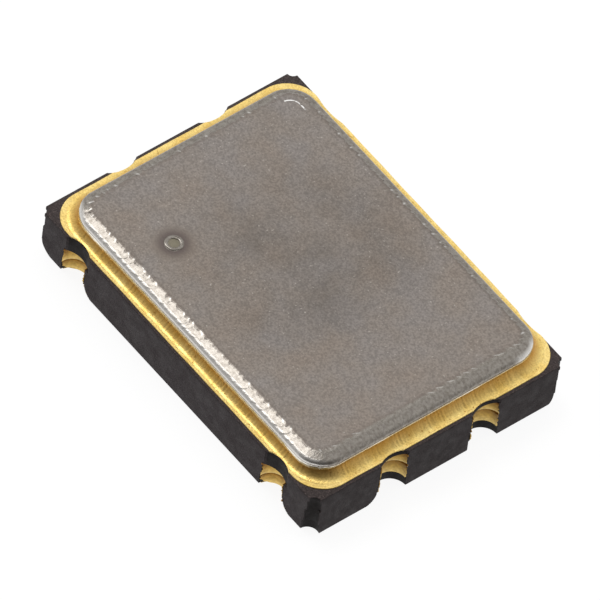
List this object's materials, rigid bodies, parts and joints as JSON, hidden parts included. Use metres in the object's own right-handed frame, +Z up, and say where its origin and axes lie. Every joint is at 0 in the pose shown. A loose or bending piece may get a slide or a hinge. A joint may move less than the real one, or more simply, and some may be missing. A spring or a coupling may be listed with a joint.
{
  "type": "crystal oscillator",
  "caption": "Surface-mount crystal oscillator: black ceramic body with gold notches, a gold-plated seal ring and a seam-welded metal lid over the quartz and chip.",
  "frame": {"origin": "middle of the footprint on the board, at the underside of the solder pads", "axes": "+X along the long side away from the spot mark, +Y along the short side, +Z up from the board through the lid"},
  "size_m": [0.007, 0.005, 0.0012],
  "materials": {
    "black_ceramic": "matte fired",
    "lid_metal": "matte",
    "ring_metal": "satin gold plate",
    "gold_on_seal": "satin gold plate",
    "gold_plating": "satin gold plate",
    "inner_gold": "satin gold plate",
    "bond_wire_gold": "bright",
    "bond_pad_aluminium": "bright",
    "silicon": "polished",
    "silver_glue": "matte",
    "quartz": "lapped",
    "electrode_film": "bright film"
  },
  "bodies": {
    "root": {"adhesive_dot_1": "silver_glue", "adhesive_dot_2": "silver_glue", "bond_fingers": "inner_gold", "bond_wire_1": "bond_wire_gold", "bond_wire_10": "bond_wire_gold", "bond_wire_2": "bond_wire_gold", "bond_wire_3": "bond_wire_gold", "bond_wire_4": "bond_wire_gold", "bond_wire_5": "bond_wire_gold", "bond_wire_6": "bond_wire_gold", "bond_wire_7": "bond_wire_gold", "bond_wire_8": "bond_wire_gold", "bond_wire_9": "bond_wire_gold", "bottom_electrode": "electrode_film", "ceramic_base": "black_ceramic", "chip_attach_layer": "silver_glue", "chip_attach_pad": "inner_gold", "chip_bond_pads": "bond_pad_aluminium", "crystal_mount_pad_1": "inner_gold", "crystal_mount_pad_2": "inner_gold", "lid": "lid_metal", "oscillator_chip": "silicon", "quartz_blank": "quartz", "seal_land": "gold_on_seal", "seal_ring": "ring_metal", "seal_ring_braze": "gold_on_seal", "side_contact_1": "gold_plating", "side_contact_2": "gold_plating", "side_contact_3": "gold_plating", "side_contact_4": "gold_plating", "terminal_1": "gold_plating", "terminal_2": "gold_plating", "terminal_3": "gold_plating", "terminal_4": "gold_plating", "top_electrode": "electrode_film"}
  },
  "joints": []
}
